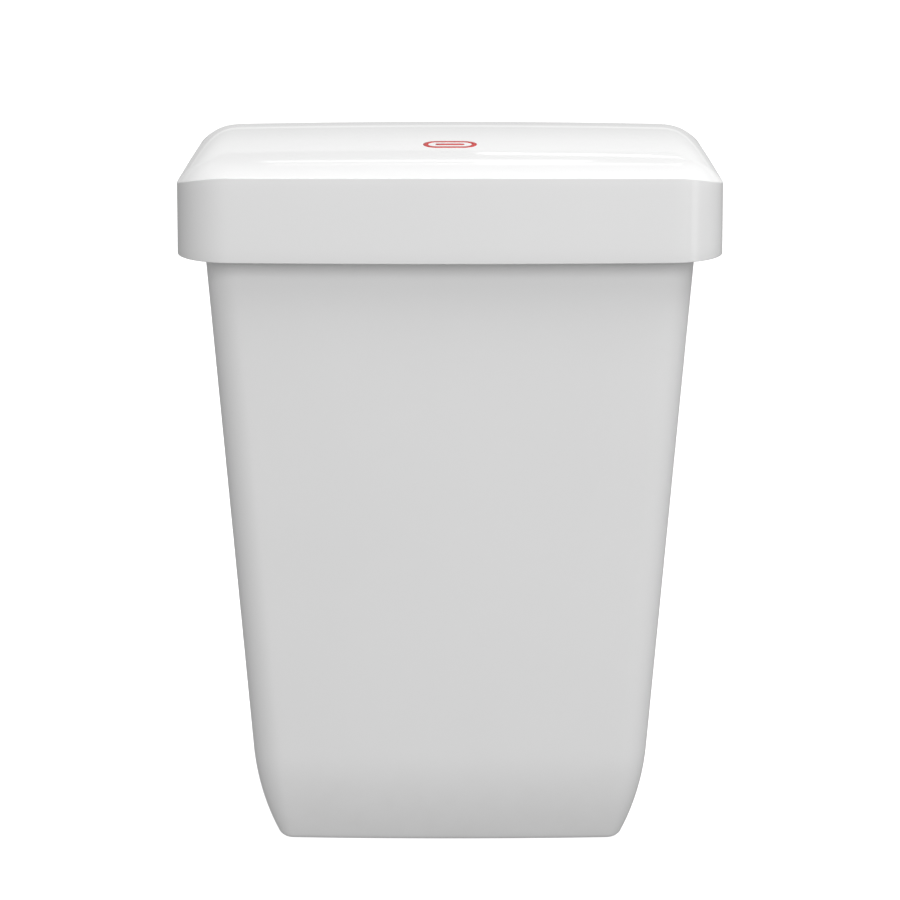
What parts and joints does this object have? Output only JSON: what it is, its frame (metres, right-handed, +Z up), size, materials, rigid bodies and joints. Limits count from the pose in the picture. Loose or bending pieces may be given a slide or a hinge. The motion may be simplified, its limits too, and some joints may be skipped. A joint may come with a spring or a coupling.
{
  "type": "waste bin",
  "caption": "Tall tapered plastic waste bin with rounded corners, a deep-skirted domed lid on two rear hinges, an inner bag ring and rubber feet.",
  "frame": {"origin": "on the floor, at the middle of the bin's bounding box", "axes": "+Z up, along the longest extent; -Y is the front, away from the hinges; +X is to the right as seen from the front, along the hinge axis"},
  "size_m": [0.4218, 0.3078, 0.5848],
  "materials": {
    "body_plastic": "satin white moulded plastic",
    "lid_plastic": "glossy white moulded plastic",
    "ring_plastic": "satin grey moulded plastic",
    "hinge_plastic": "satin white moulded plastic",
    "pin_steel": "drawn stainless steel",
    "clip_steel": "plain zinc-plated steel",
    "rivet_aluminium": "dull aluminium",
    "foot_rubber": "black moulded rubber"
  },
  "bodies": {
    "bin": {"body_shell": "body_plastic", "liner_ring": "ring_plastic", "hinge_block_left": "hinge_plastic", "hinge_block_right": "hinge_plastic", "hinge_pin_left": "pin_steel", "hinge_pin_right": "pin_steel", "pin_clip_left": "clip_steel", "pin_clip_right": "clip_steel", "block_rivets": "rivet_aluminium", "foot_front_left": "foot_rubber", "foot_front_right": "foot_rubber", "foot_back_left": "foot_rubber", "foot_back_right": "foot_rubber"},
    "lid": {"lid_shell": "lid_plastic", "hinge_leaf_left": "hinge_plastic", "hinge_leaf_right": "hinge_plastic", "leaf_screws": "clip_steel", "buffer_front_left": "foot_rubber", "buffer_front_right": "foot_rubber", "buffer_back_left": "foot_rubber", "buffer_back_right": "foot_rubber"}
  },
  "joints": [
    {"name": "lid_hinge", "type": "hinge", "parent": "bin", "child": "lid", "pos_m": [0, 0.14272, 0.5114], "axis": [-1, 0, 0], "range_deg": [0, 95]}
  ]
}
